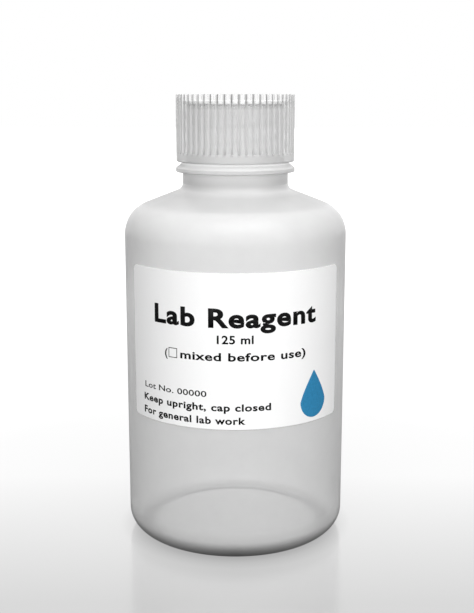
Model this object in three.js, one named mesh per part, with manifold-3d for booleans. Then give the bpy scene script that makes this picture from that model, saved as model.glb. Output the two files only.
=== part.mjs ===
// A small round laboratory bottle of natural, milky plastic with a ribbed clear screw cap.
// Four pieces: the blow-moulded bottle, the cap, the foam sealing disc inside the cap, and
// the paper label wrapped round the front. Millimetres, +Z up, origin at the middle of the
// base on the surface that the bottle stands on, the label facing -Y.
import * as THREE from 'three';
import { mergeVertices } from 'three/addons/utils/BufferGeometryUtils.js';
import Module from 'manifold-3d';

// ---- driving dimensions ----
const TOTAL_HEIGHT = 102.0;   // standing surface to the top of the closed cap
const BODY_R = 25.5;          // outside of the round body
const WALL = 1.0;             // blown wall
const HEEL_R = 4.8;           // rounded edge between body and base
const PUSH_UP = 1.2;          // how far the middle of the base is raised
const STAND_R = 19.9;         // inner edge of the ring that the bottle stands on
const PUSH_UP_R = 17.9;       // outer edge of the raised middle of the base
const SHOULDER_TOP = 70.45;   // height at which the straight body ends
const SHOULDER_R = 7.6;       // big rounding between body and shoulder
const SHOULDER_SLOPE = THREE.MathUtils.degToRad(21.3);

const NECK_R = 12.0;          // plain neck between shoulder and ledge
const NECK_FILLET = 1.8;      // inside corner between shoulder and neck
const LEDGE_R = 13.57;        // ledge just under the cap
const LEDGE_BOTTOM = 84.7;
const LEDGE_RIM = 0.95;       // height of the ledge's upright rim
const LEDGE_TOP = 86.75;      // where the ledge's conical top meets the neck
const LEDGE_TOP_R = 12.1;
const LEDGE_ROUND = 0.15;     // rounded lower edge of the ledge
const MOUTH_R = 9.8;          // bore of the threaded neck
const RIM_DROP = 2.33;        // top of the closed cap down to the rim of the mouth

const THREAD_PITCH = 3.25;    // ridge to ridge
const THREAD_STARTS = 2;
const THREAD_ROOT_R = 11.2;   // neck between the ridges
const THREAD_CREST_R = 12.05;
const THREAD_LOW = 89.9;      // middle of the ridge where it starts
const THREAD_TURNS = 1.23;
const THREAD_BASE_W = 1.5;
const THREAD_CREST_W = 0.6;
const THREAD_SIDE_Z = 90.73;  // a ridge crosses the +X side of the neck at this height

const CAP_HEIGHT = 15.0;
const CAP_R = 13.47;          // crests of the ribs, and the plain band below them
const CAP_BORE_R = 12.35;
const CAP_PANEL = 1.3;        // thickness of the cap's flat top
const CAP_BAND = 2.0;         // plain band under the ribs
const CAP_EDGE = 0.3;         // rounding of the band's lower edge
const RIB_COUNT = 52;
const RIB_DEPTH = 0.45;
const RIB_CREST_SHARE = 0.55; // share of one rib's spacing that its crest takes
const RIB_VALLEY_SHARE = 0.2;
const CAP_THREAD_R = 11.5;    // inner edge of the ridges inside the cap
const CAP_THREAD_BASE_W = 1.3;
const CAP_THREAD_CREST_W = 0.5;
const CAP_THREAD_DROP = 1.25; // the cap's ridge rides this far under the neck's ridge
const CAP_THREAD_LOW = 89.2;
const CAP_THREAD_TURNS = 1.1;

const LINER_R = 11.95;
const LINER_THICKNESS = 0.9;
const LINER_GAP = 0.05;       // between the disc and the cap's flat top

const LABEL_WIDTH = 54.3;     // measured round the body
const LABEL_LOW = 31.1;
const LABEL_HIGH = 65.2;
const LABEL_CORNER = 1.2;
const LABEL_GAP = 0.04;
const LABEL_THICKNESS = 0.14;

// ---- fineness ----
const FACETS = 48;            // flats round every turned piece
const ARC_STEPS = 2;          // half the number of chords in each rounded corner
const HELIX_STEPS = 36;       // steps in one turn of a thread
const RUN_OUT = 2;            // steps over which a thread rises out of the wall
const CORNER_STEPS = 4;

const LEAD = THREAD_PITCH * THREAD_STARTS;
const QUARTER = Math.PI / 2;
const TURN = 2 * Math.PI;
const RIM_Z = TOTAL_HEIGHT - RIM_DROP;
const CAP_LOW = TOTAL_HEIGHT - CAP_HEIGHT;

const wasm = await Module();
wasm.setup();

// A closed profile of (radius, height) points, anticlockwise, turned once round +Z.
function turned(points) {
  const closed = points[0].x === 0 ? points : [...points, points[0].clone()];
  return new THREE.LatheGeometry(closed, FACETS).rotateX(QUARTER);
}

function solid(geometry) {
  const bare = geometry.clone();
  bare.deleteAttribute('normal');
  bare.deleteAttribute('uv');
  const merged = mergeVertices(bare, 1e-5);
  return new wasm.Manifold(new wasm.Mesh({
    numProp: 3,
    vertProperties: Float32Array.from(merged.attributes.position.array),
    triVerts: Uint32Array.from(dropSlivers(merged.index.array)),
  }));
}

// Turning a point that lies on the axis leaves triangles with two equal corners.
function dropSlivers(index) {
  const kept = [];
  for (let i = 0; i < index.length; i += 3) {
    const [a, b, c] = [index[i], index[i + 1], index[i + 2]];
    if (a !== b && b !== c && c !== a) kept.push(a, b, c);
  }
  return kept;
}

function geometryOf(manifold) {
  const mesh = manifold.getMesh();
  const geometry = new THREE.BufferGeometry();
  geometry.setAttribute('position', new THREE.BufferAttribute(mesh.vertProperties, 3));
  geometry.setIndex(new THREE.BufferAttribute(mesh.triVerts, 1));
  geometry.computeVertexNormals();
  return geometry;
}

// Angle phi is counted from the front (-Y) towards +X, as the turned pieces are.
function around(phi, radius, z) {
  return [radius * Math.sin(phi), -radius * Math.cos(phi), z];
}

// One ridge of a right-hand thread. Its section is a trapezium whose foot stands inside the
// wall; the ridge sinks into the wall at both ends.
function threadRidge({ footR, wallR, crestR, footW, crestW, lowZ, startPhi, turns }) {
  const steps = Math.round(turns * HELIX_STEPS);
  const positions = [];
  for (let i = 0; i <= steps; i += 1) {
    const rise = Math.min(1, Math.min(i, steps - i) / RUN_OUT);
    const sunkR = wallR + (footR - wallR) * 0.5;
    const topR = sunkR + (crestR - sunkR) * rise;
    const phi = startPhi + (i * TURN) / HELIX_STEPS;
    const z = lowZ + (i * LEAD) / HELIX_STEPS;
    positions.push(...around(phi, footR, z - footW / 2), ...around(phi, topR, z - crestW / 2));
    positions.push(...around(phi, topR, z + crestW / 2), ...around(phi, footR, z + footW / 2));
  }
  const outward = crestR > footR;
  const index = [];
  const face = (a, b, c) => (outward ? index.push(a, b, c) : index.push(a, c, b));
  for (let i = 0; i < steps; i += 1) {
    for (let side = 0; side < 4; side += 1) {
      const a = 4 * i + side;
      const b = 4 * i + ((side + 1) % 4);
      face(a, a + 4, b);
      face(b, a + 4, b + 4);
    }
  }
  const last = 4 * steps;
  face(0, 1, 2);
  face(0, 2, 3);
  face(last, last + 2, last + 1);
  face(last, last + 3, last + 2);
  const geometry = new THREE.BufferGeometry();
  geometry.setAttribute('position', new THREE.Float32BufferAttribute(positions, 3));
  geometry.setIndex(index);
  return solid(geometry);
}

// Every start of a thread whose helix crosses the +X side at sideZ.
function threadRidges(section, sideZ, lowZ, turns) {
  const phiAt = (z) => QUARTER + ((z - sideZ) * TURN) / LEAD;
  return Array.from({ length: THREAD_STARTS }, (_, start) => threadRidge({
    ...section, lowZ, turns, startPhi: phiAt(lowZ) + (start * TURN) / THREAD_STARTS,
  }));
}

// Outside or inside of the bottle from base to neck; inset is 0 outside and WALL inside.
function bottleSide(inset) {
  const bodyR = BODY_R - inset;
  const heelR = HEEL_R - inset;
  const arcR = SHOULDER_R - inset;
  const filletR = NECK_FILLET + inset;
  const path = new THREE.Path();
  path.moveTo(0, PUSH_UP + inset);
  path.lineTo(PUSH_UP_R, PUSH_UP + inset);
  path.lineTo(STAND_R, inset);
  path.lineTo(BODY_R - HEEL_R, inset);
  path.absarc(BODY_R - HEEL_R, HEEL_R, heelR, -QUARTER, 0, false);
  path.lineTo(bodyR, SHOULDER_TOP);
  const centre = new THREE.Vector2(BODY_R - SHOULDER_R, SHOULDER_TOP);
  path.absarc(centre.x, centre.y, arcR, 0, QUARTER - SHOULDER_SLOPE, false);
  // The slope is tangent to the big rounding and to the fillet under the neck.
  const filletX = NECK_R + NECK_FILLET;
  const reach = SHOULDER_R + NECK_FILLET;
  const along = (centre.x + reach * Math.sin(SHOULDER_SLOPE) - filletX) / Math.cos(SHOULDER_SLOPE);
  const filletY = centre.y + reach * Math.cos(SHOULDER_SLOPE) + along * Math.sin(SHOULDER_SLOPE);
  path.absarc(filletX, filletY, filletR, -QUARTER - SHOULDER_SLOPE, -Math.PI, true);
  return path.getPoints(ARC_STEPS);
}

function bottleGeometry() {
  const outside = bottleSide(0);
  const neck = new THREE.Path();
  neck.moveTo(NECK_R, LEDGE_BOTTOM);
  neck.lineTo(LEDGE_R - LEDGE_ROUND, LEDGE_BOTTOM);
  neck.absarc(LEDGE_R - LEDGE_ROUND, LEDGE_BOTTOM + LEDGE_ROUND, LEDGE_ROUND, -QUARTER, 0, false);
  neck.lineTo(LEDGE_R, LEDGE_BOTTOM + LEDGE_RIM);
  neck.lineTo(LEDGE_TOP_R, LEDGE_TOP);
  neck.lineTo(THREAD_ROOT_R, LEDGE_TOP);
  neck.lineTo(THREAD_ROOT_R, RIM_Z);
  neck.lineTo(MOUTH_R, RIM_Z);
  neck.lineTo(MOUTH_R, LEDGE_TOP);
  const inside = bottleSide(WALL).reverse();
  const ridges = threadRidges({
    footR: THREAD_ROOT_R - 0.5,
    wallR: THREAD_ROOT_R,
    crestR: THREAD_CREST_R,
    footW: THREAD_BASE_W,
    crestW: THREAD_CREST_W,
  }, THREAD_SIDE_Z, THREAD_LOW, THREAD_TURNS);
  const body = solid(turned([...outside, ...neck.getPoints(1), ...inside]));
  return geometryOf(ridges.reduce((whole, ridge) => whole.add(ridge), body));
}

// The ribs stand between the root of the cap's wall and the crests, all the way round.
function ribbedOutline() {
  const spacing = TURN / RIB_COUNT;
  const outline = [];
  for (let rib = 0; rib < RIB_COUNT; rib += 1) {
    for (const [radius, share] of [
      [CAP_R, -RIB_CREST_SHARE / 2],
      [CAP_R, RIB_CREST_SHARE / 2],
      [CAP_R - RIB_DEPTH, 0.5 - RIB_VALLEY_SHARE / 2],
      [CAP_R - RIB_DEPTH, 0.5 + RIB_VALLEY_SHARE / 2],
    ]) {
      const [x, y] = around((rib + share) * spacing, radius, 0);
      outline.push(new THREE.Vector2(x, y));
    }
  }
  return new THREE.Shape(outline);
}

function capGeometry() {
  const bandTop = CAP_LOW + CAP_BAND;
  const ribs = new THREE.ExtrudeGeometry(ribbedOutline(), {
    depth: CAP_HEIGHT - CAP_BAND,
    bevelEnabled: false,
  }).translate(0, 0, bandTop);
  const band = new THREE.Path();
  band.moveTo(0, CAP_LOW);
  band.lineTo(CAP_R - CAP_EDGE, CAP_LOW);
  band.absarc(CAP_R - CAP_EDGE, CAP_LOW + CAP_EDGE, CAP_EDGE, -QUARTER, 0, false);
  band.lineTo(CAP_R, bandTop);
  band.lineTo(CAP_R - RIB_DEPTH, bandTop + RIB_DEPTH);
  band.lineTo(0, bandTop + RIB_DEPTH);
  const hollow = turned([
    new THREE.Vector2(0, CAP_LOW - 1),
    new THREE.Vector2(CAP_BORE_R, CAP_LOW - 1),
    new THREE.Vector2(CAP_BORE_R, TOTAL_HEIGHT - CAP_PANEL),
    new THREE.Vector2(0, TOTAL_HEIGHT - CAP_PANEL),
  ]);
  const ridges = threadRidges({
    footR: CAP_BORE_R + 0.25,
    wallR: CAP_BORE_R,
    crestR: CAP_THREAD_R,
    footW: CAP_THREAD_BASE_W,
    crestW: CAP_THREAD_CREST_W,
  }, THREAD_SIDE_Z - CAP_THREAD_DROP, CAP_THREAD_LOW, CAP_THREAD_TURNS);
  const shell = solid(ribs)
    .add(solid(turned(band.getPoints(ARC_STEPS))))
    .subtract(solid(hollow));
  return geometryOf(ridges.reduce((whole, ridge) => whole.add(ridge), shell));
}

function linerGeometry() {
  const high = TOTAL_HEIGHT - CAP_PANEL - LINER_GAP;
  return turned([
    new THREE.Vector2(0, high - LINER_THICKNESS),
    new THREE.Vector2(LINER_R, high - LINER_THICKNESS),
    new THREE.Vector2(LINER_R, high),
    new THREE.Vector2(0, high),
  ]);
}

// A point of the label: along is measured round the body from the middle of the front. The
// label lies parallel to the flats of the faceted body.
function onBody(along, radius, z) {
  const step = TURN / FACETS;
  const phi = along / BODY_R;
  const flat = Math.floor(phi / step + 1e-9);
  const share = phi / step - flat;
  const [x0, y0] = around(flat * step, radius, z);
  const [x1, y1] = around((flat + 1) * step, radius, z);
  return [x0 + (x1 - x0) * share, y0 + (y1 - y0) * share, z];
}

// A thin plate with rounded corners, bent round the front of the body.
function labelGeometry() {
  const half = LABEL_WIDTH / 2;
  const corner = Array.from({ length: CORNER_STEPS + 1 }, (_, i) => {
    const angle = (QUARTER * i) / CORNER_STEPS;
    return {
      along: half - LABEL_CORNER * (1 - Math.sin(angle)),
      cut: LABEL_CORNER * (1 - Math.cos(angle)),
    };
  });
  const flatWidth = (BODY_R * TURN) / FACETS;
  const flats = Math.floor((half - LABEL_CORNER) / flatWidth);
  const middle = [];
  for (let k = -flats; k <= flats; k += 1) middle.push({ along: k * flatWidth, cut: 0 });
  const left = corner.map(({ along, cut }) => ({ along: -along, cut })).reverse();
  const all = [...left, ...middle, ...corner];
  const inner = BODY_R + LABEL_GAP;
  const outer = inner + LABEL_THICKNESS;
  const positions = all.flatMap(({ along, cut }) => [
    ...onBody(along, inner, LABEL_LOW + cut),
    ...onBody(along, outer, LABEL_LOW + cut),
    ...onBody(along, outer, LABEL_HIGH - cut),
    ...onBody(along, inner, LABEL_HIGH - cut),
  ]);
  const index = [];
  for (let i = 0; i < all.length - 1; i += 1) {
    for (let side = 0; side < 4; side += 1) {
      const a = 4 * i + side;
      const b = 4 * i + ((side + 1) % 4);
      index.push(a, a + 4, b, b, a + 4, b + 4);
    }
  }
  const last = 4 * (all.length - 1);
  index.push(0, 1, 2, 0, 2, 3, last, last + 2, last + 1, last, last + 3, last + 2);
  const geometry = new THREE.BufferGeometry();
  geometry.setAttribute('position', new THREE.Float32BufferAttribute(positions, 3));
  geometry.setIndex(index);
  geometry.computeVertexNormals();
  return geometry;
}

function piece(name, geometry, colour, roughness, opacity = 1) {
  const material = new THREE.MeshStandardMaterial({
    color: colour,
    roughness,
    metalness: 0,
    opacity,
    transparent: opacity < 1,
  });
  const mesh = new THREE.Mesh(geometry, material);
  mesh.name = name;
  return mesh;
}

const object = new THREE.Group();
object.add(
  piece('bottle', bottleGeometry(), 0xdcdfe0, 0.35, 0.6),
  piece('cap', capGeometry(), 0xe4e7e8, 0.2, 0.5),
  piece('cap_liner', linerGeometry(), 0xf4f4f2, 0.85),
  piece('label', labelGeometry(), 0xf2f2f2, 0.6),
);

export default object;
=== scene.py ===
"""Looks of the laboratory bottle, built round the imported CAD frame. Lengths are in metres;
MM turns the millimetre sizes below into metres. Angle phi is counted from the front (-Y)
towards +X."""
import math

import bmesh
import bpy
import numpy as np
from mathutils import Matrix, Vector


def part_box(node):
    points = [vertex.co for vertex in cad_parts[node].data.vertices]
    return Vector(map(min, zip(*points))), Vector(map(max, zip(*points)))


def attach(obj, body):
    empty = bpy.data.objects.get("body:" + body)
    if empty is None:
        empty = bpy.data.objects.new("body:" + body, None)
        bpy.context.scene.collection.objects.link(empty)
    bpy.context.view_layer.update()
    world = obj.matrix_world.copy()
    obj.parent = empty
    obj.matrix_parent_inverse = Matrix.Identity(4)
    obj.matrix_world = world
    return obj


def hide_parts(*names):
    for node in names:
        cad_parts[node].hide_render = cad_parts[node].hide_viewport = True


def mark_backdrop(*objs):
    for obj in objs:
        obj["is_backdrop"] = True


MM = 0.001
TURN = 2 * math.pi

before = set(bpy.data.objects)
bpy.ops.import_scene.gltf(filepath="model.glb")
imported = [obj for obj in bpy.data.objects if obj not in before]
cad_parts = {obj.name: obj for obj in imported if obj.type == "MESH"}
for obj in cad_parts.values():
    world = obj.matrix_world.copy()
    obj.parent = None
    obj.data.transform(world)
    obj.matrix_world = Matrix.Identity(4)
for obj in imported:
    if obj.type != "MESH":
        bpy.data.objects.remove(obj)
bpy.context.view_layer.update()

# ---- sizes read from the frame ----
BODY_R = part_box("bottle")[1].x
RIM_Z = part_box("bottle")[1].z
CAP_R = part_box("cap")[1].x
CAP_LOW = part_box("cap")[0].z
CAP_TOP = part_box("cap")[1].z
LINER_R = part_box("cap_liner")[1].x
LINER_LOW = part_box("cap_liner")[0].z
LINER_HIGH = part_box("cap_liner")[1].z
LABEL_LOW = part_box("label")[0].z
LABEL_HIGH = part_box("label")[1].z
LABEL_OUTER_R = -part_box("label")[0].y

# ---- the bottle, as designed in the CAD part ----
WALL = 1.0 * MM
HEEL_R = 4.8 * MM
PUSH_UP = 1.2 * MM
PUSH_UP_R = 17.9 * MM
STAND_R = 19.9 * MM
SHOULDER_TOP = 70.45 * MM
SHOULDER_R = 7.6 * MM
SHOULDER_SLOPE = math.radians(21.3)
NECK_R = 12.0 * MM
NECK_FILLET = 1.8 * MM
NECK_START = 82.7 * MM        # where the plain neck starts, above the fillet
LEDGE_R = 13.57 * MM
LEDGE_BOTTOM = 84.7 * MM
LEDGE_RIM = 0.95 * MM
LEDGE_TOP = 86.75 * MM
LEDGE_TOP_R = 12.1 * MM
LEDGE_ROUND = 0.15 * MM       # both edges of the ledge's rim
LEDGE_CORNER = 0.25 * MM      # inside corner under the ledge
LEDGE_CREST = 0.2 * MM        # rounding where the ledge's top ends, and the corner above it
MOUTH_R = 9.8 * MM
RIM_ROUND = 0.35 * MM
PARTING_HALF = 0.22 * MM
PARTING_HEIGHT = 0.05 * MM
PARTING_LOW = 0.4 * MM
THREAD_PITCH = 3.25 * MM
THREAD_STARTS = 2
THREAD_ROOT_R = 11.2 * MM
THREAD_HEIGHT = 0.85 * MM
THREAD_LOW = 89.9 * MM
THREAD_TURNS = 1.23
THREAD_SIDE_Z = 90.73 * MM
THREAD_HALF_FOOT = 0.75 * MM
THREAD_HALF_CREST = 0.3 * MM
THREAD_ROW = 0.13 * MM        # height of one row of faces
RUN_OUT_TURNS = 0.06
LEAD = THREAD_PITCH * THREAD_STARTS

# ---- zones of the bottle that look milkier than the rest, or are painted darker with shade or lighter with highlights ----
# painted shade: the heel is painted darker towards the floor, less at the parting lines
HEEL_SHADE_TOP = 7.5 * MM
HEEL_SHADE_FADE = 6.0 * MM
HEEL_SIDE_SHARE = 0.5         # how much less dark the heel is at the parting lines
UPPER_LOW = 55.0 * MM
UPPER_HIGH = 68.0 * MM
SLOPE_IN = 13.2 * MM
SLOPE_OUT = 21.3 * MM
SLOPE_SOFT = 2.5 * MM
FILLET_LOW = 80.5 * MM
NECK_LOW = 82.1 * MM
RING_IN = 19.4 * MM
RING_OUT = 22.5 * MM

# ---- the cap ----
CAP_BORE_R = 12.35 * MM
CAP_BORE_CORNER = 0.4 * MM
CAP_PANEL = 1.3 * MM
CAP_BAND = 2.0 * MM
CAP_EDGE = 0.3 * MM
CAP_LIP = 0.25 * MM           # rounding of the bore's lower edge
CAP_TOP_EDGE = 0.22 * MM
CAP_ROW = 0.25 * MM           # height of one row of faces in the bore
RIB_COUNT = 52
RIB_DEPTH = 0.45 * MM
RIB_FADE = 0.1 * MM
RIB_CREST = 0.26              # from a rib's middle to its crest's edge, in rib spacings
RIB_FLANK = 0.16              # width of a flank, in rib spacings
GATE_R = 2.2 * MM             # the dimple that the moulding gate leaves in the cap's top
GATE_SLOPE = 1.0 * MM
GATE_DEPTH = 0.18 * MM
GATE_STUB_R = 0.5 * MM
GATE_STUB = 0.1 * MM
CAP_THREAD_HEIGHT = 0.85 * MM
CAP_THREAD_DROP = 1.25 * MM
CAP_THREAD_LOW = 89.2 * MM
CAP_THREAD_TURNS = 1.1
CAP_THREAD_HALF_FOOT = 0.65 * MM
CAP_THREAD_HALF_CREST = 0.25 * MM

# ---- zones of the cap that look milkier or darker in tone, and the grooves' painted shade ----
SKIRT_ABOVE_LINER = 0.25 * MM
SKIRT_SOFT = 0.3 * MM
GROOVE_WIDTH = 0.10           # in rib spacings
FLANK_LOW = 0.28
FLANK_HIGH = 0.42
FLANK_SOFT = 0.06

# ---- the label ----
LABEL_WIDTH = 54.3 * MM
LABEL_CORNER = 1.2 * MM
LABEL_THICKNESS = 0.14 * MM
INK_THICKNESS = 0.012 * MM
INK_GAP = 0.002 * MM
INK_REACH = 28 * MM           # the printing lies within this distance of the label's middle
INK_BEND = 0.6 * MM           # width of the strips that the ink is bent in

# ---- how much each zone adds to the values that the see-through plastic reads ----
BOTTLE_PLASTIC = {
    "milk": {"everywhere": 0.06, "outside": 0.38, "ring": 0.12, "disc": -0.16},
    "edge_milk": {"outside": 0.23, "upper": 0.45},
    "outer_milk": {
        "heel": 0.6, "neck": 0.35, "rim": 0.1, "slope": 0.12, "fillet": 0.1, "chamfer": 0.25,
    },
    # painted shade where positive, painted highlights where negative: heel, slope (a painted
    # reflection of the neck), standing ring, ledge's rim, threaded neck inside the cap and neck's
    # foot are painted darker; plain neck, fillet and ledge's chamfer are painted lighter
    "tone_and_painted_light": {
        "heel_painted_shade": 0.85, "slope": 0.33, "ring": 0.2, "rim": 0.35, "thread": 0.6,
        "foot": 0.45, "neck": -0.25, "fillet": -0.12, "chamfer": -0.3,
    },
}
CAP_PLASTIC = {
    "milk": {"everywhere": 0.04, "outside": 0.02},
    "edge_milk": {"outside": 0.8},
    "outer_milk": {"skirt": 0.55, "top": 0.55, "groove": 0.95, "skirt_groove": -0.8, "flank": 0.3},
    # painted shade in the grooves and at their lower ends, less in the skirt; the skirt, the band
    # and the top are a darker tone
    "tone_and_painted_light": {
        "groove": 1.0, "skirt_groove": -0.85, "skirt": 0.05, "band": 0.08, "top": 0.25,
        "groove_end": 0.5,
    },
}


# ---- outlines and numbers ----
def arc(centre_r, centre_z, radius, start, end, steps):
    """Points of an arc in the (radius, height) plane, with both ends, angles in degrees."""
    turns = np.radians(np.linspace(start, end, steps + 1))
    return [(centre_r + radius * math.cos(a), centre_z + radius * math.sin(a)) for a in turns]


def straight(start, end, steps):
    """Points from start to end of a straight stretch, without its end."""
    return [
        (start[0] + (end[0] - start[0]) * i / steps, start[1] + (end[1] - start[1]) * i / steps)
        for i in range(steps)
    ]


def smooth_step(value):
    value = np.clip(value, 0, 1)
    return value * value * (3 - 2 * value)


def between(value, low, high, soft):
    """1 from low to high, fading to 0 over soft on both sides."""
    return smooth_step((value - low) / soft + 0.5) * smooth_step((high - value) / soft + 0.5)


def weigh(zones, recipe):
    """The recipe's values: each is the sum of its zones times their weights."""
    return {
        key: sum(weight * zones[zone] for zone, weight in weights.items())
        for key, weights in recipe.items()
    }


# ---- mesh helpers ----
def link(name, data):
    obj = bpy.data.objects.new(name, data)
    bpy.context.scene.collection.objects.link(obj)
    return obj


def link_mesh(name, verts, faces, sharp=math.radians(50)):
    mesh = bpy.data.meshes.new(name)
    mesh.from_pydata([tuple(v) for v in verts], [], [tuple(f) for f in faces])
    mesh.validate()
    mesh.polygons.foreach_set("use_smooth", [True] * len(mesh.polygons))
    mesh.set_sharp_from_angle(angle=sharp)
    return link(name, mesh)


def turned(name, profile, phis, relief=None, plastic=None):
    """A closed body turned round +Z. The profile runs from the axis to the axis, anticlockwise.
    relief gives how far each point stands out of the plain turned surface, and plastic the
    named values that the see-through material reads there."""
    count = len(phis)
    rings = profile[1:-1]
    points = np.array(rings)
    radius = np.repeat(points[:, :1], count, axis=1)
    if relief:
        radius = radius + relief(points, phis)
    height = np.repeat(points[:, 1:], count, axis=1)
    verts = np.stack([radius * np.sin(phis), -radius * np.cos(phis), height], axis=-1)
    verts = verts.reshape(-1, 3).tolist()
    first, last = len(verts), len(verts) + 1
    verts += [(0, 0, profile[0][1]), (0, 0, profile[-1][1])]
    top = (len(rings) - 1) * count
    faces = []
    for column in range(count):
        beside = (column + 1) % count
        faces.append((first, beside, column))
        for low in range(0, top, count):
            high = low + count
            faces.append((low + column, low + beside, high + beside, high + column))
        faces.append((last, top + column, top + beside))
    obj = link_mesh(name, verts, faces)
    for key, value in (plastic(points, phis) if plastic else {}).items():
        shares = np.broadcast_to(value, radius.shape)
        shares = np.concatenate([shares.ravel(), [shares[0].mean(), shares[-1].mean()]])
        obj.data.attributes.new(key, "FLOAT", "POINT").data.foreach_set("value", shares)
    return obj


def thread_relief(points, phis, low, turns, side_z, height, half_foot, half_crest):
    """Height of a right-hand thread's ridges above the wall that they stand on."""
    z = points[:, 1:]
    start_phi = math.pi / 2 + (low - side_z) * TURN / LEAD
    relief = np.zeros((len(points), len(phis)))
    for start in range(THREAD_STARTS):
        first = ((phis - start_phi) / TURN - start / THREAD_STARTS) % 1.0
        for extra in range(math.ceil(turns) + 1):
            along = first + extra
            present = smooth_step(np.minimum(along, turns - along) / RUN_OUT_TURNS)
            away = np.abs(z - (low + LEAD * along))
            section = smooth_step((half_foot - away) / (half_foot - half_crest))
            relief = np.maximum(relief, section * present * height)
    return relief


# ---- the bottle ----
def bottle_side(inset, fineness):
    """Outside (inset 0) or inside (inset WALL) of the bottle from the base to the neck."""
    dish = np.linspace(PUSH_UP_R, STAND_R, 8)
    rise = PUSH_UP * (1 - smooth_step((dish - PUSH_UP_R) / (STAND_R - PUSH_UP_R)))
    points = straight((0, PUSH_UP + inset), (PUSH_UP_R, PUSH_UP + inset), 6)
    points += [(r, z + inset) for r, z in zip(dish, rise)]
    points += arc(BODY_R - HEEL_R, HEEL_R, HEEL_R - inset, -90, 0, 2 * fineness)
    points += straight((BODY_R - inset, HEEL_R), (BODY_R - inset, SHOULDER_TOP), 24)[1:]
    centre_r, centre_z = BODY_R - SHOULDER_R, SHOULDER_TOP
    lean = math.degrees(SHOULDER_SLOPE)
    points += arc(centre_r, centre_z, SHOULDER_R - inset, 0, 90 - lean, 2 * fineness)
    fillet_r = NECK_R + NECK_FILLET
    reach = SHOULDER_R + NECK_FILLET
    along = centre_r + reach * math.sin(SHOULDER_SLOPE) - fillet_r
    fillet_z = (
        centre_z + reach * math.cos(SHOULDER_SLOPE) + along * math.tan(SHOULDER_SLOPE)
    )
    fillet = arc(fillet_r, fillet_z, NECK_FILLET + inset, -90 - lean, -180, fineness)
    points += straight(points[-1], fillet[0], 4)[1:]
    return points + fillet


def ledge_points():
    """The plain neck, the ledge on it and the corner where the threaded wall starts."""
    under = LEDGE_BOTTOM - LEDGE_CORNER
    points = straight((NECK_R, NECK_START), (NECK_R, under), 3)
    points += arc(NECK_R + LEDGE_CORNER, under, LEDGE_CORNER, 180, 90, 4)
    tip_r = LEDGE_R - LEDGE_ROUND
    points += arc(tip_r, LEDGE_BOTTOM + LEDGE_ROUND, LEDGE_ROUND, -90, 0, 6)
    points += arc(tip_r, LEDGE_BOTTOM + LEDGE_RIM - LEDGE_ROUND, LEDGE_ROUND, 0, 50, 4)
    crest_r = LEDGE_TOP_R - LEDGE_CREST / 2
    points += arc(crest_r, LEDGE_TOP - LEDGE_CREST, LEDGE_CREST, 50, 90, 3)
    corner_r, corner_z = THREAD_ROOT_R + LEDGE_CREST, LEDGE_TOP + LEDGE_CREST
    return points + arc(corner_r, corner_z, LEDGE_CREST, -90, -180, 4)


def bottle_profile():
    wall_low, wall_high = LEDGE_TOP + LEDGE_CREST, RIM_Z - RIM_ROUND
    rows = round((RIM_Z - LEDGE_TOP) / THREAD_ROW)
    neck = straight((THREAD_ROOT_R, wall_low), (THREAD_ROOT_R, wall_high), rows)[1:]
    neck += arc(THREAD_ROOT_R - RIM_ROUND, wall_high, RIM_ROUND, 0, 90, 6)
    neck += arc(MOUTH_R + RIM_ROUND, wall_high, RIM_ROUND, 90, 180, 6)
    inside = bottle_side(WALL, 8)[::-1]
    wide_r, wide_z = inside[0]
    heights = np.linspace(LEDGE_TOP, wide_z, 10)
    share = smooth_step((LEDGE_TOP - heights) / (LEDGE_TOP - wide_z))
    neck += [(MOUTH_R + (wide_r - MOUTH_R) * s, z) for s, z in zip(share, heights)]
    return bottle_side(0, 10) + ledge_points() + neck + inside[1:]


def on_outside(points):
    """1 for the profile's points before the top of the rim, 0 for the rest."""
    return (np.arange(len(points)) < np.argmax(points[:, 1]))[:, None] * 1.0


def parting_line(points, phis):
    """The fine raised line that the two halves of a blow mould leave up both sides."""
    z = points[:, 1:]
    shown = on_outside(points) * (z > PARTING_LOW) * (z < LEDGE_BOTTOM)
    across = np.abs(np.cos(phis)) * BODY_R
    return shown * PARTING_HEIGHT * smooth_step(1 - across / PARTING_HALF)


def bottle_relief(points, phis):
    threaded = (points[:, :1] > THREAD_ROOT_R - 0.001 * MM) * (points[:, 1:] > LEDGE_TOP)
    ridges = thread_relief(
        points, phis, THREAD_LOW, THREAD_TURNS, THREAD_SIDE_Z,
        THREAD_HEIGHT, THREAD_HALF_FOOT, THREAD_HALF_CREST,
    )
    return ridges * threaded + parting_line(points, phis)


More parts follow.
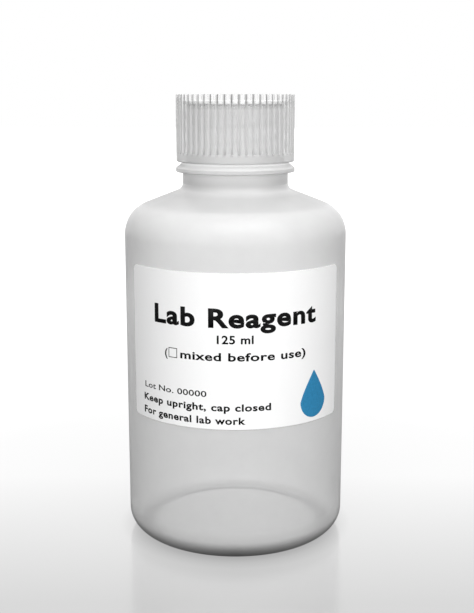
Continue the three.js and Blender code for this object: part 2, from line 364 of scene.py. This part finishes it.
def bottle_plastic(points, phis):
    """The milk is in the outside surface, less in the middle of the base. The neck, the
    ledge's rim and the slope look denser. Painted shade darkens the heel towards the floor,
    most of all half-way between the two parting lines, and the slope round the neck, as a
    painted reflection of the neck; painted shade also darkens the standing ring, the ledge's
    rim, the threaded neck and the neck's foot, while painted highlights lighten the plain
    neck, the fillet and the ledge's chamfer."""
    radius, z = points[:, :1], points[:, 1:]
    outside = on_outside(points)
    base = z < HEEL_R
    rim_top = LEDGE_BOTTOM + LEDGE_RIM
    in_neck = radius < NECK_R + 0.1 * MM
    in_rim = radius > LEDGE_R - 1.0 * MM
    on_shoulder = (z > SHOULDER_TOP) * (z < NECK_LOW)
    upper = smooth_step((z - UPPER_LOW) / (UPPER_HIGH - UPPER_LOW)) * (z < NECK_LOW)
    heel = smooth_step((HEEL_SHADE_TOP - z) / HEEL_SHADE_FADE) * (radius > STAND_R)
    neck = between(z, NECK_LOW, LEDGE_BOTTOM, 0.6 * MM) * in_neck
    thread = between(z, LEDGE_TOP + 0.2 * MM, RIM_Z - 0.6 * MM, 0.4 * MM)
    zones = {
        "everywhere": 1.0,
        "outside": outside,
        "upper": outside * upper,
        "heel": outside * heel,
        # painted shade on the heel, strongest half-way between the parting lines
        "heel_painted_shade": outside * heel * (1 - HEEL_SIDE_SHARE * np.abs(np.sin(phis))),
        # slope: milkier, and painted darker as a painted reflection of the neck
        "slope": outside * between(radius, SLOPE_IN, SLOPE_OUT, SLOPE_SOFT) * on_shoulder,
        # fillet, neck, foot, rim, chamfer and thread: painted highlights and painted shade on and
        # round the neck
        "fillet": outside * between(z, FILLET_LOW, NECK_LOW, 0.5 * MM),
        "neck": outside * neck,
        "foot": outside * neck * smooth_step((LEDGE_BOTTOM - z) / (LEDGE_BOTTOM - NECK_LOW)),
        "rim": outside * between(z, LEDGE_BOTTOM, rim_top, 0.2 * MM) * in_rim,
        "chamfer": outside * between(z, rim_top, LEDGE_TOP, 0.2 * MM) * (radius > LEDGE_TOP_R),
        "thread": outside * thread,
        "disc": outside * (radius < RING_IN) * base,
        # ring: the standing ring inside the base, milkier and painted darker as shade
        "ring": (1 - outside) * between(radius, RING_IN, RING_OUT, 0.3 * MM) * base,
    }
    return weigh(zones, BOTTLE_PLASTIC)


def bottle_phis():
    even = np.linspace(0, TURN, 256, endpoint=False)
    fine = np.linspace(-1, 1, 7) * 1.2 * PARTING_HALF / BODY_R
    extra = np.concatenate([math.pi / 2 + fine, 1.5 * math.pi + fine])
    keep = [p for p in even if np.min(np.abs(extra - p)) > 0.002]
    return np.sort(np.concatenate([keep, extra]))


# ---- the cap ----
def cap_profile():
    ceiling = CAP_TOP - CAP_PANEL
    corner_r, corner_z = CAP_BORE_R - CAP_BORE_CORNER, ceiling - CAP_BORE_CORNER
    points = straight((0, ceiling), (corner_r - 0.1 * MM, ceiling), 6)
    points += arc(corner_r, corner_z, CAP_BORE_CORNER, 90, 0, 5)
    rows = round((ceiling - CAP_LOW) / CAP_ROW)
    points += straight((CAP_BORE_R, corner_z), (CAP_BORE_R, CAP_LOW + 0.3 * MM), rows)[1:]
    points += arc(CAP_BORE_R + CAP_LIP, CAP_LOW + CAP_LIP, CAP_LIP, 180, 270, 4)
    points += arc(CAP_R - CAP_EDGE, CAP_LOW + CAP_EDGE, CAP_EDGE, -90, 0, 8)
    band_top = CAP_LOW + CAP_BAND
    ribs_low, ribs_high = band_top + RIB_FADE, CAP_TOP - CAP_TOP_EDGE
    points += straight((CAP_R, CAP_LOW + CAP_EDGE), (CAP_R, band_top), 3)[1:]
    points += straight((CAP_R, band_top), (CAP_R, ribs_low), 6)
    points += straight((CAP_R, ribs_low), (CAP_R, ribs_high), 8)
    points += arc(CAP_R - CAP_TOP_EDGE, ribs_high, CAP_TOP_EDGE, 0, 90, 5)
    points += straight((CAP_R - 1.2 * MM, CAP_TOP), (GATE_R, CAP_TOP), 5)
    gate = np.linspace(GATE_R, GATE_R - GATE_SLOPE, 5)
    dip = GATE_DEPTH * smooth_step((GATE_R - gate) / GATE_SLOPE)
    points += [(r, CAP_TOP - d) for r, d in zip(gate, dip)]
    floor_z = CAP_TOP - GATE_DEPTH
    points += [(GATE_STUB_R, floor_z), (GATE_STUB_R - GATE_STUB, floor_z + GATE_STUB)]
    return points + [(0, floor_z + 1.2 * GATE_STUB)]


def across_rib(phis):
    """Distance from the nearest rib's middle, in rib spacings: 0 on it, 0.5 in the groove."""
    return np.abs((phis * RIB_COUNT / TURN + 0.5) % 1.0 - 0.5)


def cap_relief(points, phis):
    radius, z = points[:, :1], points[:, 1:]
    bore = np.abs(radius - CAP_BORE_R) < 0.001 * MM
    ridges = thread_relief(
        points, phis, CAP_THREAD_LOW, CAP_THREAD_TURNS, THREAD_SIDE_Z - CAP_THREAD_DROP,
        CAP_THREAD_HEIGHT, CAP_THREAD_HALF_FOOT, CAP_THREAD_HALF_CREST,
    )
    ribbed = smooth_step((z - CAP_LOW - CAP_BAND) / RIB_FADE) * (radius > CAP_R - 0.3 * MM)
    valley = smooth_step((across_rib(phis) - RIB_CREST) / RIB_FLANK)
    return -ridges * bore - ribbed * valley * RIB_DEPTH


def cap_plastic(points, phis):
    """The skirt is milky up to the liner and clear above it. Painted shade darkens the
    grooves between the ribs, less in the skirt and most at their lower ends, and the ribs'
    flanks are milky. The skirt, the band and the top are a little darker in tone."""
    radius, z = points[:, :1], points[:, 1:]
    band_top = CAP_LOW + CAP_BAND
    skirt_top = LINER_LOW + SKIRT_ABOVE_LINER
    across = across_rib(phis)
    outside = (radius > CAP_BORE_R + 0.3 * MM) * 1.0
    wall = outside * (radius > CAP_R - 0.6 * MM)
    ribbed = wall * smooth_step((z - band_top) / RIB_FADE)
    rib_end = wall * between(z, band_top, band_top + RIB_FADE, 0.1 * MM)
    skirt = outside * smooth_step((skirt_top - z) / SKIRT_SOFT + 0.5)
    # groove: where the grooves' painted shade lies
    groove = ribbed * np.exp(-(((across - 0.5) / GROOVE_WIDTH) ** 2))
    zones = {
        "everywhere": 1.0,
        "outside": outside,
        "band": wall * (z < band_top),
        "top": (z > CAP_TOP - 0.25 * MM) * (radius < CAP_R - 0.6 * MM),
        "skirt": skirt,
        "groove": groove,
        "skirt_groove": skirt * groove,
        "groove_end": rib_end * (across > FLANK_LOW),
        "flank": ribbed * between(across, FLANK_LOW, FLANK_HIGH, FLANK_SOFT),
    }
    return weigh(zones, CAP_PLASTIC)


def cap_phis():
    """Columns that follow each rib: few on its crest, more on the flanks and the groove."""
    crest = np.linspace(-RIB_CREST, RIB_CREST, 5)
    flank = np.linspace(RIB_CREST, 0.5, 7)[1:]
    shares = np.concatenate([-flank, crest, flank[:-1]])
    ribs = np.arange(RIB_COUNT)[:, None]
    return np.sort(((ribs + shares) * TURN / RIB_COUNT).ravel() % TURN)


# ---- the foam disc ----
def liner_profile():
    soft = 0.18 * MM
    points = straight((0, LINER_LOW), (LINER_R - soft, LINER_LOW), 6)
    points += arc(LINER_R - soft, LINER_LOW + soft, soft, -90, 0, 4)
    points += arc(LINER_R - soft, LINER_HIGH - soft, soft, 0, 90, 4)
    points += straight((LINER_R - soft, LINER_HIGH), (0, LINER_HIGH), 6)[1:]
    return points + [(0, LINER_HIGH)]


# ---- the label and its printing ----
def on_body(along, height, radius):
    phi = along / BODY_R
    return (radius * math.sin(phi), -radius * math.cos(phi), height)


def label_plate():
    """A thin sheet with rounded corners, bent round the front of the body."""
    flat = LABEL_WIDTH / 2 - LABEL_CORNER
    corner = [
        (flat + LABEL_CORNER * math.sin(a), LABEL_CORNER * (1 - math.cos(a)))
        for a in np.linspace(0, math.pi / 2, 9)
    ]
    middle = [(s, 0.0) for s in np.linspace(-flat, flat, 97)[1:-1]]
    columns = [(-s, cut) for s, cut in reversed(corner)] + middle + corner
    rows = 12
    verts = []
    for along, cut in columns:
        heights = np.linspace(LABEL_LOW + cut, LABEL_HIGH - cut, rows)
        verts += [on_body(along, h, LABEL_OUTER_R) for h in heights]
        verts += [on_body(along, h, LABEL_OUTER_R - LABEL_THICKNESS) for h in reversed(heights)]
    ring = 2 * rows
    faces = []
    for i in range(len(columns) - 1):
        for side in range(ring):
            a, b = i * ring + side, i * ring + (side + 1) % ring
            faces.append((a, a + ring, b + ring, b))
    last = (len(columns) - 1) * ring
    faces.append(tuple(range(ring)))
    faces.append(tuple(last + side for side in reversed(range(ring))))
    return link_mesh("paper_label", verts, faces, math.radians(35))


def press_on_label(obj):
    """Turns flat faces drawn in (along, height) into a thin layer of ink on the label."""
    bm = bmesh.new()
    bm.from_mesh(obj.data)
    bmesh.ops.remove_doubles(bm, verts=bm.verts, dist=1e-7)
    for along in np.arange(-INK_REACH, INK_REACH, INK_BEND):
        geometry = bm.verts[:] + bm.edges[:] + bm.faces[:]
        bmesh.ops.bisect_plane(bm, geom=geometry, plane_co=(along, 0, 0), plane_no=(1, 0, 0))
    for face in bm.faces:
        if face.normal.z < 0:
            face.normal_flip()
    raised = bmesh.ops.extrude_face_region(bm, geom=bm.faces[:], use_keep_orig=True)
    for vert in [g for g in raised["geom"] if isinstance(g, bmesh.types.BMVert)]:
        vert.co.z += INK_THICKNESS
    bmesh.ops.recalc_face_normals(bm, faces=bm.faces[:])
    for vert in bm.verts:
        vert.co = on_body(vert.co.x, vert.co.y, LABEL_OUTER_R + INK_GAP + vert.co.z)
    bm.to_mesh(obj.data)
    bm.free()
    return obj


def print_text(name, words, left, baseline, width, capital, weight):
    """Printed words: left edge, baseline, width and capital height on the label. A heavier
    weight makes thicker strokes and sets the letters further apart."""
    curve = bpy.data.curves.new(name, "FONT")
    curve.body = words
    curve.size = 1
    curve.offset = weight
    curve.space_character = 1.0 + 3.0 * weight
    curve.resolution_u = 5
    writer = link(name + "_curve", curve)
    bpy.context.view_layer.update()
    evaluated = writer.evaluated_get(bpy.context.evaluated_depsgraph_get())
    mesh = bpy.data.meshes.new_from_object(evaluated)
    bpy.data.objects.remove(writer)
    obj = link(name, mesh)
    places = np.array([v.co for v in mesh.vertices])
    low = places[:, 0].min()
    stretch = width / (places[:, 0].max() - low)
    capital_of_font = 0.73
    for vert in mesh.vertices:
        vert.co.x = left + (vert.co.x - low) * stretch
        vert.co.y = baseline + vert.co.y * capital / capital_of_font
        vert.co.z = 0
    return press_on_label(obj)


def flat_shape(name, outline, hole=None):
    """A flat filled outline in (along, height), with an optional hole of as many points."""
    bm = bmesh.new()
    ring = [bm.verts.new((x, y, 0)) for x, y in outline]
    if hole is None:
        bm.faces.new(ring)
    else:
        inner = [bm.verts.new((x, y, 0)) for x, y in hole]
        for i in range(len(ring)):
            j = (i + 1) % len(ring)
            bm.faces.new((ring[i], ring[j], inner[j], inner[i]))
    mesh = bpy.data.meshes.new(name)
    bm.to_mesh(mesh)
    bm.free()
    return press_on_label(link(name, mesh))


def square(left, low, size, inset):
    right, high = left + size - inset, low + size - inset
    return [(left + inset, low + inset), (right, low + inset), (right, high), (left + inset, high)]


def drop_outline(middle, low, width, height):
    """A plain water drop: a half circle below, two smooth flanks up to a point."""
    radius = width / 2
    bowl = [
        (middle + radius * math.cos(a), low + radius + radius * math.sin(a))
        for a in np.linspace(math.pi, TURN, 25)
    ]
    flank = [
        (radius * (1 - t) ** 0.9 * (1 + 0.35 * t * (1 - t)), low + radius + (height - radius) * t)
        for t in np.linspace(0, 1, 17)[1:]
    ]
    right = [(middle + out, z) for out, z in flank]
    left = [(middle - out, z) for out, z in reversed(flank[:-1])]
    return bowl + right + left


# ---- materials ----
class Nodes:
    """A small helper that adds and joins the nodes of one tree."""

    def __init__(self, tree):
        self.tree = tree
        tree.nodes.clear()

    def add(self, kind, settings=None, **inputs):
        node = self.tree.nodes.new(kind)
        for key, value in (settings or {}).items():
            setattr(node, key, value)
        for key, value in inputs.items():
            self.set(node.inputs[key.replace("_", " ")], value)
        return node

    def set(self, socket, value):
        if isinstance(value, bpy.types.NodeSocket):
            self.tree.links.new(value, socket)
        else:
            socket.default_value = value

    def place(self, kind="Object"):
        return self.add("ShaderNodeTexCoord").outputs[kind]

    def noise(self, scale, detail=3.0, roughness=0.55):
        return self.add(
            "ShaderNodeTexNoise",
            Vector=self.place(), Scale=scale, Detail=detail, Roughness=roughness,
        ).outputs["Fac"]

    def local(self, key):
        """A value that the mesh holds for each of its points."""
        return self.add("ShaderNodeAttribute", {"attribute_name": key}).outputs["Fac"]

    def spread(self, value, low, high, from_low=0.3, from_high=0.7):
        """value, which runs from from_low to from_high, turned into low to high."""
        node = self.add("ShaderNodeMapRange", Value=value)
        limits = {"From Min": from_low, "From Max": from_high, "To Min": low, "To Max": high}
        for key, number in limits.items():
            node.inputs[key].default_value = number
        return node.outputs["Result"]

    def math(self, operation, *values):
        node = self.add("ShaderNodeMath", {"operation": operation})
        for socket, value in zip(node.inputs, values):
            self.set(socket, value)
        return node.outputs[0]

    def grey(self, value):
        node = self.add("ShaderNodeCombineColor")
        for socket in node.inputs:
            self.set(socket, value)
        return node.outputs["Color"]

    def tinted(self, colour, shade):
        """The colour times a shade."""
        node = self.add("ShaderNodeMix", {"data_type": "RGBA", "blend_type": "MULTIPLY"})
        sockets = {socket.identifier: socket for socket in node.inputs}
        sockets["Factor_Float"].default_value = 1.0
        sockets["A_Color"].default_value = (*colour, 1.0)
        self.set(sockets["B_Color"], self.grey(shade))
        return next(s for s in node.outputs if s.identifier == "Result_Color")

    def bump(self, height, strength, distance):
        node = self.add("ShaderNodeBump", Height=height, Strength=strength, Distance=distance)
        return node.outputs["Normal"]


def surface(name, build):
    """A new material whose surface is the Principled shader that build makes."""
    material = bpy.data.materials.new(name)
    material.use_nodes = True
    n = Nodes(material.node_tree)
    shader = build(n)
    n.add("ShaderNodeOutputMaterial", Surface=shader.outputs["BSDF"])
    return material


# DARK_TONE: the colour that painted shade turns the plastic towards
DARK_TONE = 0.10


def see_through_plastic(n, tone, roughness, bump_height):
    """Thin clear or milky plastic: part of the light goes straight through, the rest is
    scattered by the milk. The mesh's own values say how milky it is, how much more so where
    the surface is seen edge-on, and how milky its front side looks. A further value paints
    shade and highlights on the front side, and a darker tone on parts of the cap."""
    cloud = n.noise(scale=90.0, detail=4.0)
    fine = n.noise(scale=900.0, detail=2.0)
    front = n.math("SUBTRACT", 1.0, n.add("ShaderNodeNewGeometry").outputs["Backfacing"])
    facing = n.add("ShaderNodeLayerWeight", Blend=0.5).outputs["Facing"]
    edge = n.math("MULTIPLY", n.math("POWER", facing, 2.0), n.local("edge_milk"))
    uneven = n.math("ADD", n.spread(cloud, -0.015, 0.015), edge)
    milk = n.math("ADD", n.local("milk"), uneven)
    opacity = n.math("MULTIPLY_ADD", n.local("outer_milk"), front, milk)
    # painted shade where the value is positive and painted highlights where it is negative, shown
    # only on the side seen from outside; on the cap's skirt, band and top it is a darker tone
    dark = n.math("MULTIPLY", n.local("tone_and_painted_light"), front)
    shade = n.math("MULTIPLY_ADD", dark, DARK_TONE - tone, tone)
    return n.add(
        "ShaderNodeBsdfPrincipled",
        Base_Color=n.grey(n.math("ADD", shade, n.spread(cloud, -0.01, 0.01))),
        Roughness=n.spread(fine, roughness - 0.03, roughness + 0.03),
        IOR=1.49, Alpha=opacity,
        Normal=n.bump(n.math("MULTIPLY_ADD", fine, 0.15, cloud), 0.25, bump_height),
    )


def milky_plastic(n):
    return see_through_plastic(n, tone=0.64, roughness=0.32, bump_height=0.015 * MM)


def clear_plastic(n):
    return see_through_plastic(n, tone=0.68, roughness=0.14, bump_height=0.004 * MM)


def foam(n):
    cells = n.add("ShaderNodeTexVoronoi", Vector=n.place(), Scale=2600.0).outputs["Distance"]
    return n.add(
        "ShaderNodeBsdfPrincipled",
        Base_Color=n.grey(n.spread(cells, 0.90, 0.78, 0.0, 1.0)),
        Roughness=0.85, Normal=n.bump(cells, 0.5, 0.08 * MM),
    )


def paper(n):
    fibre = n.noise(scale=1500.0, detail=5.0, roughness=0.7)
    patch = n.noise(scale=60.0)
    tone = n.math("ADD", n.spread(fibre, 0.0, 0.012), n.spread(patch, 0.90, 0.92))
    return n.add(
        "ShaderNodeBsdfPrincipled",
        Base_Color=n.grey(tone), Roughness=n.spread(patch, 0.5, 0.6),
        Normal=n.bump(fibre, 0.12, 0.02 * MM),
    )


def ink(n, colour):
    speckle = n.noise(scale=2500.0, detail=4.0, roughness=0.7)
    return n.add(
        "ShaderNodeBsdfPrincipled",
        Base_Color=n.tinted(colour, n.spread(speckle, 0.85, 1.15)),
        Roughness=n.spread(speckle, 0.5, 0.6),
        Specular_IOR_Level=0.15, Normal=n.bump(speckle, 0.1, 0.01 * MM),
    )


# ---- build the pieces ----
def put(obj, body, material, replaces=None):
    obj.data.materials.clear()
    obj.data.materials.append(material)
    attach(obj, body)
    if replaces:
        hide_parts(replaces)
    return obj


milky = surface("milky_plastic", milky_plastic)
clear = surface("clear_plastic", clear_plastic)
black_ink = surface("black_ink", lambda n: ink(n, (0.002, 0.002, 0.002)))
blue_ink = surface("blue_ink", lambda n: ink(n, (0.03, 0.22, 0.42)))

bottle = turned("bottle_shell", bottle_profile(), bottle_phis(), bottle_relief, bottle_plastic)
put(bottle, "bottle", milky, "bottle")
cap = turned("screw_cap", cap_profile(), cap_phis(), cap_relief, cap_plastic)
put(cap, "cap", clear, "cap")
liner = turned("foam_disc", liner_profile(), np.linspace(0, TURN, 128, endpoint=False))
put(liner, "liner", surface("white_foam", foam), "cap_liner")
put(label_plate(), "bottle", surface("label_paper", paper), "label")

PRINTS = [
    # name, words, left, baseline, width, capital height (mm), weight
    ("print_heading", "Lab Reagent", -19.1, 53.7, 38.2, 4.1, 0.034),
    ("print_volume", "125 ml", -3.9, 50.1, 7.8, 1.85, 0.026),
    ("print_check_open", "(", -16.2, 46.35, 0.75, 1.8, 0.02),
    ("print_check", "mixed before use)", -12.2, 46.35, 28.4, 1.8, 0.026),
    ("print_lot", "Lot No. 00000", -22.8, 38.25, 16.6, 1.35, 0.012),
    ("print_keep", "Keep upright, cap closed", -23.2, 35.25, 31.0, 1.6, 0.03),
    ("print_use", "For general lab work", -23.2, 32.3, 25.4, 1.6, 0.03),
]
for name, words, left, baseline, width, capital, weight in PRINTS:
    text = print_text(name, words, left * MM, baseline * MM, width * MM, capital * MM, weight)
    put(text, "bottle", black_ink)
tick_square = {"left": -15.2 * MM, "low": 46.2 * MM, "size": 2.2 * MM}
tick_line = 0.16 * MM
tick_box = flat_shape(
    "print_tick_box", square(**tick_square, inset=0), square(**tick_square, inset=tick_line)
)
put(tick_box, "bottle", black_ink)
drop_shape = drop_outline(middle=18.8 * MM, low=32.0 * MM, width=7.6 * MM, height=10.8 * MM)
put(flat_shape("print_drop", drop_shape), "bottle", blue_ink)


# ---- camera ----
EYE = Vector((0.38 * MM, -241.0 * MM, CAP_TOP))
LOOK_DOWN = math.radians(11.49)
camera_data = bpy.data.cameras.new("camera")
camera_data.sensor_width = 36.0
camera_data.lens = 61.37
camera = link("camera", camera_data)
camera.location = EYE
camera.rotation_euler = (math.pi / 2 - LOOK_DOWN, 0, 0)
bpy.context.scene.camera = camera


# ---- floor and light ----
FLOOR_SIDE = 3.0
FLOOR_DROP = 0.02 * MM
SHADE_BACK = 29.0 * MM
SHADE_FRONT = -44.0 * MM
WHITE_FROM = 0.09
WHITE_TO = 0.30


def floor_surface(n):
    """Pale and glossy, its brightness a glow rather than lit. Painted shade darkens it from
    behind the bottle to the front, a painted contact shadow darkens it a little more under the
    heel, and it is plain white further away, where it meets the white background without an edge."""
    x, y, _ = n.add("ShaderNodeSeparateXYZ", Vector=n.place()).outputs
    # painted shade: darker towards the front
    near = n.spread(y, 0.55, 0.80, SHADE_FRONT, SHADE_BACK)
    squares = n.math("ADD", n.math("POWER", x, 2.0), n.math("POWER", y, 2.0))
    away = n.math("SQRT", squares)
    far = n.spread(away, 0.0, 1.0, WHITE_FROM, WHITE_TO)
    shade = n.math("MULTIPLY_ADD", n.math("SUBTRACT", 1.0, near), far, near)
    # painted contact shadow: a darker ring under the bottle's heel
    under_heel = n.spread(away, 0.0, 0.2, 18.0 * MM, 21.5 * MM)
    past_heel = n.spread(away, 1.0, 0.0, 22.5 * MM, 28.0 * MM)
    painted_contact_shadow = n.math("MULTIPLY", under_heel, past_heel)
    shade = n.math("MULTIPLY", shade, n.math("SUBTRACT", 1.0, painted_contact_shadow))
    return n.add(
        "ShaderNodeBsdfPrincipled",
        Base_Color=n.grey(n.math("MULTIPLY", shade, 0.12)), Roughness=0.16, IOR=2.0,
        Emission_Color=n.grey(shade), Emission_Strength=0.83,
    )


def floor():
    """Light that leaves the object downwards isn't sent back up by the floor."""
    mesh = bpy.data.meshes.new("floor")
    corners = [(-1, -1), (1, -1), (1, 1), (-1, 1)]
    mesh.from_pydata([(x * FLOOR_SIDE, y * FLOOR_SIDE, 0) for x, y in corners], [], [(0, 1, 2, 3)])
    obj = link("floor", mesh)
    obj.location.z = -FLOOR_DROP
    obj.visible_diffuse = False
    obj.visible_glossy = False
    obj.data.materials.append(surface("pale_floor", floor_surface))
    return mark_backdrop(obj)


GROUND_LIGHT = 0.08
FRONT_LIGHT = 1.55
BACK_LIGHT = 0.95
SIDE_LIGHT = 0.2
RIGHT_EXTRA = 0.07


def world_light():
    """White as the background. As a light it is brightest in front, less behind, dim at the
    sides, a little brighter on the right, and nearly dark below."""
    world = bpy.data.worlds.new("studio")
    world.use_nodes = True
    n = Nodes(world.node_tree)
    x, y, z = n.add("ShaderNodeSeparateXYZ", Vector=n.place("Generated")).outputs
    side = n.math("MULTIPLY_ADD", x, RIGHT_EXTRA, SIDE_LIGHT)
    front = n.spread(y, 1.0, 0.0, -0.65, -0.35)
    back = n.spread(y, 0.0, 1.0, 0.35, 0.65)
    level = n.math("MULTIPLY_ADD", n.math("SUBTRACT", FRONT_LIGHT, side), front, side)
    level = n.math("MULTIPLY_ADD", n.math("SUBTRACT", BACK_LIGHT, side), back, level)
    above = n.spread(z, 0.0, 1.0, -0.35, -0.05)
    over_ground = n.math("SUBTRACT", level, GROUND_LIGHT)
    strength = n.math("MULTIPLY_ADD", over_ground, above, GROUND_LIGHT)
    white = (1, 1, 1, 1)
    lamp = n.add("ShaderNodeBackground", Color=white, Strength=strength)
    backdrop = n.add("ShaderNodeBackground", Color=white, Strength=1.0)
    mix = n.add("ShaderNodeMixShader", Fac=n.add("ShaderNodeLightPath").outputs["Is Camera Ray"])
    n.set(mix.inputs[1], lamp.outputs[0])
    n.set(mix.inputs[2], backdrop.outputs[0])
    n.add("ShaderNodeOutputWorld", Surface=mix.outputs[0])
    bpy.context.scene.world = world


def soft_box(name, place, target, width, height, power):
    data = bpy.data.lights.new(name, "AREA")
    data.shape = "RECTANGLE"
    data.size = width
    data.size_y = height
    data.energy = power
    light = link(name, data)
    light.location = place
    light.rotation_euler = (Vector(target) - Vector(place)).to_track_quat("-Z", "Y").to_euler()
    return light


floor()
world_light()
soft_box(
    "front_box", place=(0.05, -0.28, 0.60), target=(0, 0, 0.06), width=0.7, height=0.4, power=4.1
)
bpy.context.scene.view_settings.view_transform = "Standard"
